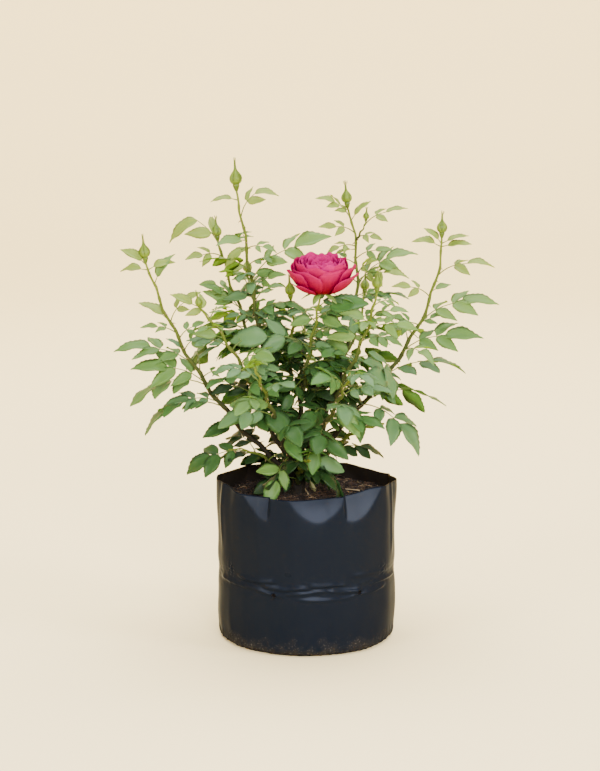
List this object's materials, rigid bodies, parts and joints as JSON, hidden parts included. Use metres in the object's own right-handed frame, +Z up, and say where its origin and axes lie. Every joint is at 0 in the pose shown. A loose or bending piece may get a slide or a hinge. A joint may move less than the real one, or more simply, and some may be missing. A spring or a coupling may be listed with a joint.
{
  "type": "potted rose bush",
  "caption": "Young rose bush with several upright canes, compound leaves, buds and a full pink bloom, growing in a round black film nursery bag filled with potting mix.",
  "frame": {"origin": "centre of the nursery bag's flat underside", "axes": "+Z up, -Y towards the front of the picture, +X to its right"},
  "size_m": [0.4076, 0.3536, 0.5206],
  "materials": {
    "film": "black polythene film, creased, soft sheen",
    "mix": "damp coarse fibrous potting mix",
    "bark": "young woody rose stem",
    "cane": "smooth green rose cane with thorns",
    "leaf": "satin green leaf",
    "petal": "velvety deep pink petal"
  },
  "bodies": {
    "root": {"grow_bag": "film", "potting_mix": "mix", "trunk": "bark", "cane_left": "cane", "cane_right": "cane", "cane_tall": "cane", "cane_back_right": "cane", "cane_back_left": "cane", "cane_bloom": "cane", "cane_bloom_side": "cane", "cane_left_low": "cane", "cane_right_low": "cane", "cane_rear_left": "cane", "cane_rear_right": "cane", "cane_rear_middle": "cane", "cane_front_left": "cane", "cane_front_right": "cane", "rose_bloom": "petal", "spray_left": "leaf", "spray_right": "leaf", "spray_tall": "leaf", "spray_back_right": "leaf", "spray_back_left": "leaf", "spray_bloom": "leaf", "spray_bloom_side": "leaf", "spray_left_low": "leaf", "spray_right_low": "leaf", "spray_rear_left": "leaf", "spray_rear_right": "leaf", "spray_rear_middle": "leaf", "spray_front_left": "leaf", "spray_front_right": "leaf", "spray_low_left": "leaf", "spray_low_right": "leaf", "spray_low_front": "leaf", "spray_low_back": "leaf"}
  },
  "joints": []
}
